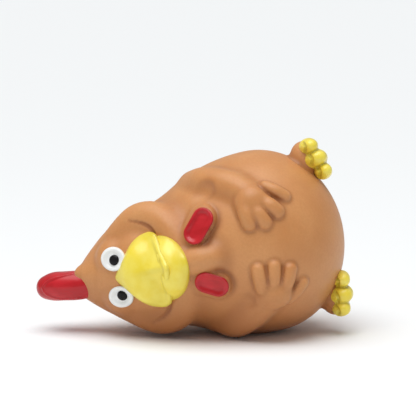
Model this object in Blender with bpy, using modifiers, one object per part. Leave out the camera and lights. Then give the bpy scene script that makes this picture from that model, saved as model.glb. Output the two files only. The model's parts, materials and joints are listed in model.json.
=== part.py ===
"""A moulded rubber toy chicken with a squeaker, lying on its right side.

The bird is modelled standing up: +Z is up, -Y is its front, +X is its left, and the origin is the centre of
its round trunk. An empty then lays it down on its right side on the plane Z = 0. All lengths are in metres.
"""

import math

import bmesh
import bpy
from mathutils import Euler, Matrix, Vector

# Trunk: an egg, longer above its widest ring than below it.
TRUNK_RADIUS = 0.0430
TRUNK_TOP = 0.0560
TRUNK_BOTTOM = 0.0405
# Head: a round cone from the cheeks up to the crown, set a little forward of the trunk's axis.
HEAD_RADIUS = 0.0300
HEAD_UP = 0.0460
HEAD_DROP = 0.0310
HEAD_FORWARD = 0.0040
CROWN_UP = 0.0930
CROWN_SHARPNESS = 1.60
# Jowl: a thick roll that runs round the face, from one brow under the beak to the other.
JOWL_RADIUS = 0.0084
# The skin's wall, and the gap left between pieces that touch.
WALL = 0.0025
GAP = 0.0003
# Pose: how far the head end dips, and how far the front rolls up.
DIP = math.radians(13.0)
ROLL = math.radians(4.5)
REST_DEPTH = 0.0012
# Face.
BEAK_HALF_WIDTH = 0.0185
BEAK_HALF_HEIGHT = 0.0165
BEAK_DEPTH = 0.0125
BEAK_LEAN = 0.0065
BEAK_UP = 0.0525
MOUTH_UP = 0.0450
EYE_RADIUS = 0.0057
EYE_LEFT = 0.0092
EYE_UP = 0.0680
EYE_HEIGHT = 0.0030
PUPIL_RADIUS = 0.0024
# Comb: a soft lobe that turns in a ball-shaped seat in the crown.
COMB_HALF_WIDTH = 0.0067
COMB_HALF_DEPTH = 0.0058
COMB_HALF_LENGTH = 0.0150
COMB_TIP_UP = 0.1060
COMB_PIVOT_UP = 0.0885
COMB_SEAT_RADIUS = 0.0066
# Legs: short stubs at the trunk's lower corners, each with a ball in a round hole.
LEG_LEFT = 0.0315
LEG_BALL_RADIUS = 0.0052
LEG_GAP = 0.0016
# Belly: the thumb's place, a round panel that is pressed in along the skin's normal.
PANEL_RADIUS = 0.0135
PANEL_SLOPE = math.radians(28.0)
PANEL_GAP = 0.0004
# Squeaker: a plug in the pour hole at the lower back.
SQUEAKER_SLOPE = math.radians(35.0)
FLANGE_RADIUS = 0.0090
FLANGE_THICKNESS = 0.0014
NECK_RADIUS = 0.0068
BARB_RADIUS = 0.0078
PLUG_LENGTH = 0.0130
CHAMBER_RADIUS = 0.0052
SOUND_HOLE_RADIUS = 0.0016
BOSS_RADIUS = 0.0120
LIP_THICKNESS = 0.0024
REED_LENGTH = 0.0060
REED_WIDTH = 0.0028
REED_THICKNESS = 0.0003

SKIN_TAN = (0.62, 0.32, 0.16)
BEAK_YELLOW = (0.84, 0.62, 0.06)
COMB_RED = (0.56, 0.01, 0.02)
EYE_WHITE = (0.86, 0.87, 0.86)
PUPIL_BLACK = (0.01, 0.01, 0.01)
PLUG_IVORY = (0.80, 0.78, 0.72)
REED_BRASS = (0.78, 0.57, 0.25)


def at(left, up, front):
    """A point of the standing bird."""
    return Vector((left, -front, up))


def trunk_radius_at(up):
    """Radius of the trunk's round section at a height."""
    reach = TRUNK_TOP if up > 0 else TRUNK_BOTTOM
    return TRUNK_RADIUS * math.sqrt(max(0.0, 1 - (up / reach) ** 2))


def on_trunk(left, up, lift=0.0):
    """A point on the trunk's front, lifted along the skin's normal."""
    front = math.sqrt(max(0.0, trunk_radius_at(up) ** 2 - left**2))
    reach = TRUNK_TOP if up > 0 else TRUNK_BOTTOM
    normal = Vector((left / TRUNK_RADIUS**2, -front / TRUNK_RADIUS**2, up / reach**2))
    return at(left, up, front) + lift * normal.normalized()


def head_radius_at(up):
    """Radius of the head's round section at a height."""
    if up < HEAD_UP:
        return HEAD_RADIUS * math.sqrt(max(0.0, 1 - ((HEAD_UP - up) / HEAD_DROP) ** 2))
    return HEAD_RADIUS * (1 - ((up - HEAD_UP) / (CROWN_UP - HEAD_UP)) ** CROWN_SHARPNESS)


def on_head(left, up, lift=0.0):
    """A point on the head's front, lifted forward."""
    return at(left, up, HEAD_FORWARD + lift + math.sqrt(head_radius_at(up) ** 2 - left**2))


def clear_scene():
    for obj in list(bpy.data.objects):
        bpy.data.objects.remove(obj)


def new_collection(name):
    collection = bpy.data.collections.new(name)
    bpy.context.scene.collection.children.link(collection)
    return collection


def material(name, colour, roughness, metallic=0.0):
    made = bpy.data.materials.new(name)
    made.use_nodes = True
    shader = made.node_tree.nodes["Principled BSDF"]
    shader.inputs["Base Color"].default_value = (*colour, 1.0)
    shader.inputs["Roughness"].default_value = roughness
    shader.inputs["Metallic"].default_value = metallic
    return made


def settle(obj):
    """The object's modifiers and its place go into its mesh."""
    bpy.context.view_layer.update()
    graph = bpy.context.evaluated_depsgraph_get()
    mesh = bpy.data.meshes.new_from_object(obj.evaluated_get(graph))
    mesh.transform(obj.matrix_world)
    settled = bpy.data.objects.new(obj.name, mesh)
    name = obj.name
    bpy.data.objects.remove(obj)
    bpy.context.scene.collection.objects.link(settled)
    settled.name = name
    return settled


def welded(obj):
    """Joins the points that meet at seams and caps, and turns all faces outward."""
    shape = bmesh.new()
    shape.from_mesh(obj.data)
    bmesh.ops.remove_doubles(shape, verts=shape.verts, dist=0.00001)
    bmesh.ops.recalc_face_normals(shape, faces=shape.faces)
    shape.to_mesh(obj.data)
    shape.free()
    return obj


def ellipsoid(name, centre, radii, turn=(0, 0, 0), segments=24, rings=14):
    """radii are along the bird's left, front and up, before the turn."""
    bpy.ops.mesh.primitive_uv_sphere_add(segments=segments, ring_count=rings, radius=1, location=centre)
    obj = bpy.context.object
    obj.name = name
    obj.data.transform(Matrix.Diagonal((*radii, 1)))
    obj.rotation_euler = Euler(turn)
    return settle(obj)


def ball(name, centre, radius, segments=20, rings=12):
    return ellipsoid(name, centre, (radius, radius, radius), segments=segments, rings=rings)


def turned(name, profile, steps=28):
    """A solid of revolution about Z, from (radius, height) points that run from the top down."""
    mesh = bpy.data.meshes.new(name)
    points = [(r, 0, z) for r, z in profile]
    mesh.from_pydata(points, [(i, i + 1) for i in range(len(points) - 1)], [])
    obj = bpy.data.objects.new(name, mesh)
    bpy.context.scene.collection.objects.link(obj)
    screw = obj.modifiers.new("turn", "SCREW")
    screw.steps = screw.render_steps = steps
    screw.use_merge_vertices = True
    screw.merge_threshold = 0.00001
    return welded(settle(obj))


def limb(name, stations, sides=1, steps=3):
    """A tube of changing radius through (point, radius) stations, with rounded ends."""
    curve = bpy.data.curves.new(name, "CURVE")
    curve.dimensions = "3D"
    curve.bevel_depth = 1.0
    curve.bevel_resolution = sides
    curve.resolution_u = steps
    curve.use_fill_caps = True
    spline = curve.splines.new("BEZIER")
    first, last = stations[0], stations[-1]
    start = (stations[0][0] - stations[1][0]).normalized()
    stop = (stations[-1][0] - stations[-2][0]).normalized()
    rounded = [(first[0] + start * first[1] * 0.85, first[1] * 0.35), *stations]
    rounded.append((last[0] + stop * last[1] * 0.85, last[1] * 0.35))
    spline.bezier_points.add(len(rounded) - 1)
    for point, (place, radius) in zip(spline.bezier_points, rounded):
        point.co = place
        point.radius = radius
        point.handle_left_type = point.handle_right_type = "AUTO"
    obj = bpy.data.objects.new(name, curve)
    bpy.context.scene.collection.objects.link(obj)
    return welded(settle(obj))


def combine(obj, tool, operation):
    """A Boolean of two settled objects. The tool is used up."""
    name = obj.name
    boolean = obj.modifiers.new(operation.lower(), "BOOLEAN")
    boolean.operation = operation
    boolean.object = tool
    obj = settle(obj)
    bpy.data.objects.remove(tool)
    obj.name = name
    return obj


def trunk(name, grow=0.0, segments=36, rings=20):
    """The trunk's egg, grown or shrunk all over."""
    obj = ball(name, (0, 0, 0), 1, segments, rings)
    for vertex in obj.data.vertices:
        reach = TRUNK_TOP if vertex.co.z > 0 else TRUNK_BOTTOM
        vertex.co.x *= TRUNK_RADIUS + grow
        vertex.co.y *= TRUNK_RADIUS + grow
        vertex.co.z *= reach + grow
    return obj


def head(name, grow=0.0, rings=14):
    """The head's round cone, grown or shrunk all over."""
    low, height = HEAD_UP - HEAD_DROP, CROWN_UP - HEAD_UP + HEAD_DROP
    profile = []
    for i in range(rings + 1):
        part = (1 + math.cos(math.pi * i / rings)) / 2
        radius = head_radius_at(low + height * part) * (1 + grow / HEAD_RADIUS)
        profile.append((radius, low - grow + (height + 2 * grow) * part))
    obj = turned(name, profile)
    obj.data.transform(Matrix.Translation(at(0, 0, HEAD_FORWARD)))
    return obj


def jowl(name, grow=0.0):
    """The roll round the face. Half of its stations are chosen, and the other half mirror them."""
    under = HEAD_FORWARD + HEAD_RADIUS
    half = [
        (at(0.0195, HEAD_UP + 0.0190, under - 0.0220), 0.55 * JOWL_RADIUS),
        (at(0.0232, HEAD_UP + 0.0120, under - 0.0200), 0.85 * JOWL_RADIUS),
        (at(0.0248, HEAD_UP + 0.0045, under - 0.0180), JOWL_RADIUS),
        (at(0.0218, HEAD_UP - 0.0035, under - 0.0135), JOWL_RADIUS),
        (at(0.0150, HEAD_UP - 0.0095, under - 0.0065), 0.88 * JOWL_RADIUS),
    ]
    middle = (at(0.0, HEAD_UP - 0.0120, under - 0.0010), 0.82 * JOWL_RADIUS)
    other = [(Vector((-p.x, p.y, p.z)), r) for p, r in reversed(half)]
    return limb(name, [(p, r + grow) for p, r in [*half, middle, *other]], sides=3, steps=2)


def bird_form(name, grow=0.0, cavity=False):
    """Trunk and head as one form, with the jowl on the outside."""
    obj = combine(trunk(name, grow), head("tool", grow), "UNION")
    if not cavity:
        obj = combine(obj, jowl("tool", grow), "UNION")
    return obj


def fitted(obj, *others):
    """The object cut back by the skin and by its neighbours, with a gap to each."""
    obj = combine(obj, bird_form("tool", GAP, cavity=True), "DIFFERENCE")
    for other in (jowl("tool", GAP), *others):
        obj = combine(obj, other, "DIFFERENCE")
    return obj


def along(direction):
    """The turn that carries +Z onto a direction."""
    return direction.to_track_quat("Z", "Y").to_matrix().to_4x4()


def cylinder(name, base, direction, radius, length, segments=24):
    """A cylinder from its base along a direction."""
    bpy.ops.mesh.primitive_cylinder_add(vertices=segments, radius=radius, depth=length)
    obj = bpy.context.object
    obj.name = name
    obj.data.transform(Matrix.Translation((0, 0, length / 2)))
    obj.matrix_world = Matrix.Translation(base) @ along(direction)
    return settle(obj)


def block(name, low, high):
    """A box between two corners."""
    size = Vector(high) - Vector(low)
    bpy.ops.mesh.primitive_cube_add(size=1, location=(Vector(low) + Vector(high)) / 2)
    obj = bpy.context.object
    obj.name = name
    obj.data.transform(Matrix.Diagonal((*size, 1)))
    return settle(obj)


# Joints' places, on the standing bird.
COMB_PIVOT = at(0, COMB_PIVOT_UP, HEAD_FORWARD - 0.0020)
PANEL_DIRECTION = Vector((0, -math.cos(PANEL_SLOPE), -math.sin(PANEL_SLOPE)))
SQUEAKER_DIRECTION = Vector((0, math.sin(SQUEAKER_SLOPE), -math.cos(SQUEAKER_SLOPE)))


def trunk_reach(direction):
    """Distance from the trunk's centre to its surface along a unit direction."""
    reach = TRUNK_TOP if direction.z > 0 else TRUNK_BOTTOM
    flat = Vector((direction.x, direction.y)).length
    return 1 / math.hypot(flat / TRUNK_RADIUS, direction.z / reach)


def hip(side):
    """Centre of a leg's ball, in the middle of the skin's wall. side is 1 for left and -1 for right."""
    direction = Vector((side * LEG_LEFT, -0.0010, -0.0260)).normalized()
    return direction * (trunk_reach(direction) - WALL / 2)


PLUG_BASE = SQUEAKER_DIRECTION * (trunk_reach(SQUEAKER_DIRECTION) - FLANGE_THICKNESS)


def make_skin():
    """The hollow skin: its wall, the legs' and belly panel's holes, the comb's seat and the squeaker's lip."""
    skin = bird_form("body_skin")
    cavity = bird_form("cavity", -WALL, cavity=True)
    boss_depth = LIP_THICKNESS + GAP
    boss_base = PLUG_BASE - SQUEAKER_DIRECTION * boss_depth
    boss = cylinder("tool", boss_base, SQUEAKER_DIRECTION, BOSS_RADIUS, 0.02)
    cavity = combine(cavity, boss, "DIFFERENCE")
    cavity = combine(cavity, ball("tool", COMB_PIVOT, COMB_SEAT_RADIUS + WALL), "DIFFERENCE")
    skin = combine(skin, cavity, "DIFFERENCE")
    recess = cylinder("tool", PLUG_BASE, SQUEAKER_DIRECTION, FLANGE_RADIUS + GAP, 0.02)
    skin = combine(skin, recess, "DIFFERENCE")
    pour_hole = cylinder(
        "tool", PLUG_BASE - SQUEAKER_DIRECTION * 0.02, SQUEAKER_DIRECTION, NECK_RADIUS + GAP, 0.04
    )
    skin = combine(skin, pour_hole, "DIFFERENCE")
    inward = PLUG_BASE - SQUEAKER_DIRECTION * 0.03
    plug_room = cylinder("tool", inward, SQUEAKER_DIRECTION, BARB_RADIUS + GAP, 0.03 - boss_depth)
    skin = combine(skin, plug_room, "DIFFERENCE")
    for side in (1, -1):
        skin = combine(skin, ball("tool", hip(side), LEG_BALL_RADIUS + GAP), "DIFFERENCE")
    panel_hole = cylinder("tool", (0, 0, 0), PANEL_DIRECTION, PANEL_RADIUS + PANEL_GAP, 0.1, 36)
    skin = combine(skin, panel_hole, "DIFFERENCE")
    seat = ball("tool", COMB_PIVOT, COMB_SEAT_RADIUS + GAP)
    return combine(skin, seat, "DIFFERENCE")


def make_belly_panel():
    """The round piece of the belly's wall under the thumb."""
    panel = trunk("belly_panel")
    panel = combine(panel, trunk("tool", -WALL), "DIFFERENCE")
    core = cylinder("tool", (0, 0, 0), PANEL_DIRECTION, PANEL_RADIUS, 0.1, 36)
    return combine(panel, core, "INTERSECT")


def make_comb():
    """A rounded lobe. Its root is a ball, so that it can flop without touching the crown."""
    centre = COMB_PIVOT + Vector((0, 0, COMB_TIP_UP - COMB_PIVOT_UP - COMB_HALF_LENGTH))
    lobe = ellipsoid("comb", centre, (COMB_HALF_WIDTH, COMB_HALF_DEPTH, COMB_HALF_LENGTH))
    cap = cylinder("tool", COMB_PIVOT, Vector((0, 0, 1)), 0.02, 0.04)
    keep = combine(ball("keep", COMB_PIVOT, COMB_SEAT_RADIUS - GAP), cap, "UNION")
    return combine(lobe, keep, "INTERSECT")


def upper_beak(name, grow=0.0):
    """A rounded wedge: narrow at the brow, widest above the mouth, leaning forward on its way down."""
    beak = ball(name, (0, 0, 0), 1, 28, 16)
    for vertex in beak.data.vertices:
        rise = vertex.co.z
        vertex.co.x *= (BEAK_HALF_WIDTH + grow) * (1 - 0.5 * max(rise, 0))
        vertex.co.y = (BEAK_DEPTH + grow) * vertex.co.y + BEAK_LEAN * rise
        vertex.co.z *= BEAK_HALF_HEIGHT + grow
    beak.data.transform(Matrix.Translation(at(0, BEAK_UP, HEAD_FORWARD + HEAD_RADIUS - 0.0015)))
    below = block("tool", (-0.03, -0.08, 0.0), (0.03, 0.0, MOUTH_UP - grow))
    return combine(beak, below, "DIFFERENCE")


def make_lower_beak():
    """The rounded half under the mouth line."""
    place = at(0, MOUTH_UP - 0.0020, HEAD_FORWARD + HEAD_RADIUS - 0.0060)
    radii = (0.82 * BEAK_HALF_WIDTH, 0.0140, 0.0105)
    beak = ellipsoid("lower_beak", place, radii, segments=28, rings=16)
    above = block("tool", (-0.03, -0.08, MOUTH_UP - GAP), (0.03, 0.0, 0.08))
    return fitted(combine(beak, above, "DIFFERENCE"))


def eye_dome(name, side, radius, height, grow=0.0):
    """A shallow dome that looks forward and a little outward."""
    place = on_head(side * EYE_LEFT, EYE_UP, -0.0008)
    radii = (radius + grow, height + grow, radius + grow)
    return ellipsoid(name, place, radii, turn=(math.radians(-20), 0, side * math.radians(16)))


def make_eye(side, name):
    return fitted(eye_dome(name, side, EYE_RADIUS, EYE_HEIGHT), upper_beak("tool", GAP))


def make_pupil(side, name):
    look = Euler((math.radians(-20), 0, side * math.radians(16))).to_matrix() @ Vector((0, -1, 0))
    place = on_head(side * EYE_LEFT, EYE_UP, -0.0008) + look * (EYE_HEIGHT - 0.0002)
    turn = (math.radians(-20), 0, side * math.radians(16))
    pupil = ellipsoid(name, place, (PUPIL_RADIUS, 0.0009, PUPIL_RADIUS), turn=turn, segments=16, rings=10)
    return combine(pupil, eye_dome("tool", side, EYE_RADIUS, EYE_HEIGHT, GAP), "DIFFERENCE")


def wattle(name, side, grow=0.0):
    """A flat lobe on the breast, beside the chin."""
    inner, outer = on_trunk(side * 0.0110, 0.0305), on_trunk(side * 0.0190, 0.0185)
    centre = on_trunk(side * 0.0150, 0.0245, 0.0016)
    length = (outer - inner).length / 2 + 0.0004
    normal = (centre - on_trunk(side * 0.0150, 0.0245)).normalized()
    axis = (outer - inner).normalized()
    across = normal.cross(axis).normalized()
    turn = Matrix((across, axis, across.cross(axis))).transposed().to_euler()
    return ellipsoid(name, centre, (0.0046 + grow, length + grow, 0.0030 + grow), turn, 20, 12)


def chin_lobe(name, grow=0.0):
    """The tongue-shaped fold under the beak that lies on the breast."""
    top, tip = on_trunk(0, 0.0300, 0.0005), on_trunk(0, 0.0225, 0.0010)
    return limb(name, [(top, 0.0066 + grow), (tip, 0.0060 + grow)], sides=2)


def make_wing(side, name):
    """An arm laid round the trunk, with four finger-like feathers on the belly."""
    arm = [
        (0.0310, 0.0275, -0.0005, 0.0050),
        (0.0350, 0.0180, -0.0016, 0.0077),
        (0.0330, 0.0080, -0.0018, 0.0077),
        (0.0285, 0.0010, -0.0015, 0.0066),
        (0.0245, -0.0045, -0.0010, 0.0060),
    ]
    fingers = [
        [(0.0215, 0.0020, 0.0000, 0.0034), (0.0110, 0.0012, 0.0002, 0.0027)],
        [(0.0210, -0.0040, 0.0000, 0.0034), (0.0105, -0.0070, 0.0002, 0.0026)],
        [(0.0225, -0.0085, 0.0000, 0.0032), (0.0140, -0.0145, 0.0002, 0.0026)],
        [(0.0265, -0.0085, 0.0000, 0.0030), (0.0200, -0.0185, 0.0000, 0.0022)],
    ]
    wing = limb(name, [(on_trunk(side * x, up, lift), r) for x, up, lift, r in arm], sides=2)
    for finger in fingers:
        tool = limb("tool", [(on_trunk(side * x, up, lift), r) for x, up, lift, r in finger])
        wing = combine(wing, tool, "UNION")
    return fitted(wing)


def make_tail():
    """A short tuft of three rounded feathers, low on the back."""
    root = Vector((0, TRUNK_RADIUS - 0.0040, -0.0060))
    tail = ellipsoid("tail", root + Vector((0, 0.0030, 0.0010)), (0.0075, 0.0070, 0.0060))
    for lean, reach in ((0.0, 0.0105), (0.55, 0.0085), (-0.55, 0.0085)):
        way = Vector((math.sin(lean), 0.62, 0.78 * math.cos(lean))).normalized()
        feather = limb("tool", [(root, 0.0046), (root + way * reach, 0.0036)])
        tail = combine(tail, feather, "UNION")
    return fitted(tail)


def leg_pad(name, side, grow=0.0):
    """The foot's brown pad, standing off the trunk at its lower corner."""
    outward = hip(side).normalized()
    centre = outward * (trunk_reach(outward) + 0.0030) + at(0, -0.0010, 0.0020)
    turn = (0, side * math.radians(16), 0)
    return ellipsoid(name, centre, (0.0100 + grow, 0.0075 + grow, 0.0056 + grow), turn, 20, 12)


def make_leg(side, name):
    """The pad and the ball that holds it in the skin."""
    pad = combine(leg_pad(name, side), trunk("tool", LEG_GAP), "DIFFERENCE")
    return combine(pad, ball("tool", hip(side), LEG_BALL_RADIUS, 16, 10), "UNION")


# Each toe: its word, its place to the side and up, and its half width and half height.
TOES = (
    ("outer", 0.0392, -0.0343, 0.0037, 0.0046),
    ("middle", 0.0325, -0.0358, 0.0044, 0.0057),
    ("inner", 0.0254, -0.0377, 0.0039, 0.0043),
)
TOE_FRONT = 0.0090


def toe(name, side, which, grow=0.0):
    """One bead-shaped toe on the front of the pad."""
    _, left, up, half_width, half_height = TOES[which]
    radii = (half_width + grow, half_height + 0.0010 + grow, half_height + grow)
    return ellipsoid(name, at(side * left, up, TOE_FRONT), radii, segments=16, rings=10)


def make_toe(side, which, name):
    """A toe cut back by the pad, by the trunk and by the middle toe."""
    made = combine(toe(name, side, which), leg_pad("tool", side, GAP), "DIFFERENCE")
    made = combine(made, trunk("tool", LEG_GAP), "DIFFERENCE")
    if TOES[which][0] != "middle":
        made = combine(made, toe("tool", side, 1, GAP), "DIFFERENCE")
    return made


def on_plug(obj):
    """Moves a piece from the squeaker's own frame, where +Z points out of the bird, to its place."""
    obj.data.transform(Matrix.Translation(PLUG_BASE) @ along(SQUEAKER_DIRECTION))
    return obj


LIP_INSIDE = -(LIP_THICKNESS + 2 * GAP)
PLUG_INSIDE = FLANGE_THICKNESS - PLUG_LENGTH
HOLDER_TOP = -0.0040


def make_squeaker_housing():
    """The turned plug: flange, neck held by the skin's lip, barb, and a sound chamber open at its inner end."""
    profile = [
        (SOUND_HOLE_RADIUS, FLANGE_THICKNESS),
        (FLANGE_RADIUS - 0.0004, FLANGE_THICKNESS),
        (FLANGE_RADIUS, FLANGE_THICKNESS - 0.0004),
        (FLANGE_RADIUS, GAP),
        (NECK_RADIUS, GAP),
        (NECK_RADIUS, LIP_INSIDE),
        (BARB_RADIUS, LIP_INSIDE),
        (BARB_RADIUS, LIP_INSIDE - 0.0012),
        (NECK_RADIUS - 0.0004, PLUG_INSIDE + 0.0030),
        (NECK_RADIUS - 0.0004, PLUG_INSIDE),
        (CHAMBER_RADIUS, PLUG_INSIDE),
        (CHAMBER_RADIUS, -0.0010),
        (SOUND_HOLE_RADIUS, -0.0010),
        (SOUND_HOLE_RADIUS, FLANGE_THICKNESS),
    ]
    return on_plug(turned("squeaker_housing", profile, 24))


def make_reed_holder():
    """A disc with a half-round channel that the reed lies over."""
    top = HOLDER_TOP
    holder = cylinder("reed_holder", (0, 0, top - 0.0020), Vector((0, 0, 1)), CHAMBER_RADIUS - GAP, 0.0020)
    channel = block("tool", (-0.0022, -0.0012, PLUG_INSIDE), (0.0022, 0.0016, top - 0.0010))
    holder = combine(holder, channel, "UNION")
    air_way = block("cut", (-0.0012, -0.0020, PLUG_INSIDE + 0.0010), (0.0012, 0.0006, top + 0.0010))
    holder = combine(holder, air_way, "DIFFERENCE")
    return on_plug(holder)


REED_HINGE = Vector((0, -0.0012 - GAP - 0.0006, HOLDER_TOP - 0.0020 - GAP))


def make_reed():
    """The thin tongue that buzzes against the channel."""
    y = REED_HINGE.y
    low = (-REED_WIDTH / 2, y - REED_THICKNESS / 2, REED_HINGE.z - REED_LENGTH)
    high = (REED_WIDTH / 2, y + REED_THICKNESS / 2, REED_HINGE.z)
    return on_plug(block("squeaker_reed", low, high))


def with_origin(obj, place):
    """The object's origin moves to a place on its joint's axis."""
    obj.data.transform(Matrix.Translation(-Vector(place)))
    obj.location = place
    return obj


def lying_matrix():
    """Lays the standing bird on its right side and sets the trunk's lowest point just under Z = 0."""
    up = Vector((-math.cos(DIP), 0, -math.sin(DIP)))
    left = Vector((-math.sin(DIP), 0, math.cos(DIP)))
    front = Vector((0, -1, 0))
    rolled_left = math.cos(ROLL) * left - math.sin(ROLL) * front
    rolled_front = math.cos(ROLL) * front + math.sin(ROLL) * left
    turn = Matrix((rolled_left, -rolled_front, up)).transposed()
    down = turn.transposed() @ Vector((0, 0, -1))
    reach = TRUNK_TOP if down.z > 0 else TRUNK_BOTTOM
    radii = Vector((TRUNK_RADIUS, TRUNK_RADIUS, reach))
    support = Vector([r * r * d for r, d in zip(radii, down)])
    lowest = turn @ (support / math.sqrt(sum((r * d) ** 2 for r, d in zip(radii, down))))
    return Matrix.Translation(-lowest - Vector((0, 0, REST_DEPTH))) @ turn.to_4x4()


def main():
    clear_scene()
    parts = new_collection("rubber_chicken")
    cutters = new_collection("cutters")
    skin = material("skin", SKIN_TAN, 0.55)
    yellow = material("yellow", BEAK_YELLOW, 0.30)
    red = material("red", COMB_RED, 0.30)
    white = material("white", EYE_WHITE, 0.30)
    black = material("black", PUPIL_BLACK, 0.30)
    ivory = material("plug", PLUG_IVORY, 0.40)
    brass = material("brass", REED_BRASS, 0.30, 1.0)

    body_skin = make_skin()
    right_wing = make_wing(-1, "right_wing")
    made = [(body_skin, skin), (right_wing, skin), (make_wing(1, "left_wing"), skin), (make_tail(), skin)]
    chin = combine(chin_lobe("chin_lobe"), wattle("tool", 1, GAP), "DIFFERENCE")
    made.append((fitted(chin, wattle("tool", -1, GAP)), skin))
    panel = make_belly_panel()
    panel_centre = PANEL_DIRECTION * trunk_reach(PANEL_DIRECTION)
    made.append((with_origin(panel, panel_centre), skin))
    made.append((fitted(upper_beak("upper_beak")), yellow))
    made.append((make_lower_beak(), yellow))
    made.append((with_origin(make_comb(), COMB_PIVOT), red))
    hips = {}
    for side, word in ((1, "left"), (-1, "right")):
        made.append((fitted(wattle(f"{word}_wattle", side)), red))
        made.append((make_eye(side, f"{word}_eye"), white))
        made.append((make_pupil(side, f"{word}_pupil"), black))
        joint = bpy.data.objects.new(f"{word}_hip", None)
        joint.location = hip(side)
        parts.objects.link(joint)
        leg = with_origin(make_leg(side, f"{word}_leg"), hip(side))
        made.append((leg, skin))
        hips[leg.name] = joint
        for which, (toe_word, *_) in enumerate(TOES):
            made_toe = with_origin(make_toe(side, which, f"{word}_{toe_word}_toe"), hip(side))
            made.append((made_toe, yellow))
            hips[made_toe.name] = joint
    made.append((make_squeaker_housing(), ivory))
    made.append((make_reed_holder(), ivory))
    hinge = Matrix.Translation(PLUG_BASE) @ along(SQUEAKER_DIRECTION) @ REED_HINGE
    made.append((with_origin(make_reed(), hinge), brass))

    lying = bpy.data.objects.new("lying_bird", None)
    lying.matrix_world = lying_matrix()
    parts.objects.link(lying)
    for joint in set(hips.values()):
        joint.parent = lying
    for obj, finish in made:
        for owner in list(obj.users_collection):
            owner.objects.unlink(obj)
        parts.objects.link(obj)
        obj.data.materials.clear()
        obj.data.materials.append(finish)
        obj.data.shade_smooth()
        obj.data.set_sharp_from_angle(angle=math.radians(35))
        if obj.name in hips:
            obj.parent = hips[obj.name]
            obj.location = (0, 0, 0)
        else:
            obj.parent = lying
    floor = block("floor_cutter", (-0.2, -0.2, -0.05), (0.2, 0.2, 0.0))
    floor.hide_render = True
    floor.display_type = "WIRE"
    bpy.context.scene.collection.objects.unlink(floor)
    cutters.objects.link(floor)
    for obj in (body_skin, right_wing):
        rest = obj.modifiers.new("rest", "BOOLEAN")
        rest.operation = "DIFFERENCE"
        rest.object = floor


main()
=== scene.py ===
# %% [markdown]
# # A squeaky rubber chicken, lying on its side
# The real toy is one hollow latex moulding, tan where the rubber shows and painted yellow, red, white and
# black where it is dressed up. The soft body is therefore one clay-like form, and each painted feature is
# its own piece.

# %% The frame
import json
import math

import bpy
import numpy as np
from mathutils import Euler, Matrix, Vector


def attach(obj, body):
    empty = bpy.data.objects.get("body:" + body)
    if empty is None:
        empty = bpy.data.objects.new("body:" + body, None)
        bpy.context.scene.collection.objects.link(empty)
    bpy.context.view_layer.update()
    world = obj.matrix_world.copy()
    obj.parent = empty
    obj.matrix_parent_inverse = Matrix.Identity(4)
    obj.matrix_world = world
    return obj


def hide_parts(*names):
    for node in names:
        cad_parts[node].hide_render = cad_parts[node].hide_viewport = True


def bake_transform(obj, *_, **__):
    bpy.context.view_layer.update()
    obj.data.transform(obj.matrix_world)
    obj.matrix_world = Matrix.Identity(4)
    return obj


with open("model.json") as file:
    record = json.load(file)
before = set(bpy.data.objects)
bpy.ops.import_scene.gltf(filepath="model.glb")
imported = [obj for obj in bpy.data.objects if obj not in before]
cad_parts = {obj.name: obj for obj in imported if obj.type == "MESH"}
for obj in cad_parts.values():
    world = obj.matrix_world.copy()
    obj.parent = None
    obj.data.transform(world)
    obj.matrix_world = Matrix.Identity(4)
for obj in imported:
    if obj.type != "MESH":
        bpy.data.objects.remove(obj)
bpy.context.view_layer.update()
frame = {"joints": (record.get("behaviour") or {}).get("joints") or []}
joints = {joint["name"]: joint for joint in frame["joints"]}

# %% [markdown]
# ## A standing bird inside a lying one
# The toy is easier to think about standing up: so many millimetres to its left, up towards the comb, and out
# to the front. The joints say how it lies: the comb turns about the front direction, and the hips lie left
# and right of the middle. Every piece is modelled standing and then laid down by one matrix.

# %% The standing bird's own axes
MM = 0.001
FRONT = Vector(joints["comb_flop"]["axis"]).normalized()
hips = {side: Vector(joints[side + "_foot_wag"]["pos_m"]) for side in ("left", "right")}
LEFT = (hips["left"] - hips["right"]).normalized()
UP = FRONT.cross(LEFT).normalized()
COMB_PIVOT = Vector(joints["comb_flop"]["pos_m"])
CENTRE = COMB_PIVOT - UP * 88.5 * MM - FRONT * 2.0 * MM
LAY_DOWN = Matrix((LEFT, -FRONT, UP)).transposed().to_4x4()
LAY_DOWN.translation = CENTRE
print("trunk centre", [round(x * 1000, 1) for x in CENTRE])


def spot(left, up, front):
    """A point of the standing bird, in millimetres, as Blender metres."""
    return Vector((left, -front, up)) * MM


def in_row(left, up, front):
    """The same point where the lying bird has it."""
    return LAY_DOWN @ spot(left, up, front)


# %% [markdown]
# ## The camera and the light
# A long lens looks slightly down on the toy. The light is one wide lamp overhead, whose broad angle keeps
# the shadows soft, a small soft box in front that adds gentle highlights, and a dim even room that lifts the
# shaded side. The camera is made first, because the framing decides how much detail each piece needs.

# %% Camera
VIEW_DOWN = math.radians(8.0)
DISTANCE = 1.2
FRAME_WIDTH = 0.1975
look = Vector((0, math.cos(VIEW_DOWN), -math.sin(VIEW_DOWN)))
screen_up = Vector((0, math.sin(VIEW_DOWN), math.cos(VIEW_DOWN)))
camera = bpy.data.objects.new("camera", bpy.data.cameras.new("camera"))
bpy.context.scene.collection.objects.link(camera)
camera.data.sensor_width = 36
camera.data.lens = 36 * DISTANCE / FRAME_WIDTH
camera.location = CENTRE - look * DISTANCE + Vector((-23.0 * MM, 0, 0)) + screen_up * 16.1 * MM
camera.rotation_euler = look.to_track_quat("-Z", "Y").to_euler()
bpy.context.scene.camera = camera
bpy.context.scene.view_settings.view_transform = "Standard"
print("lens", round(camera.data.lens), "mm")

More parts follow.
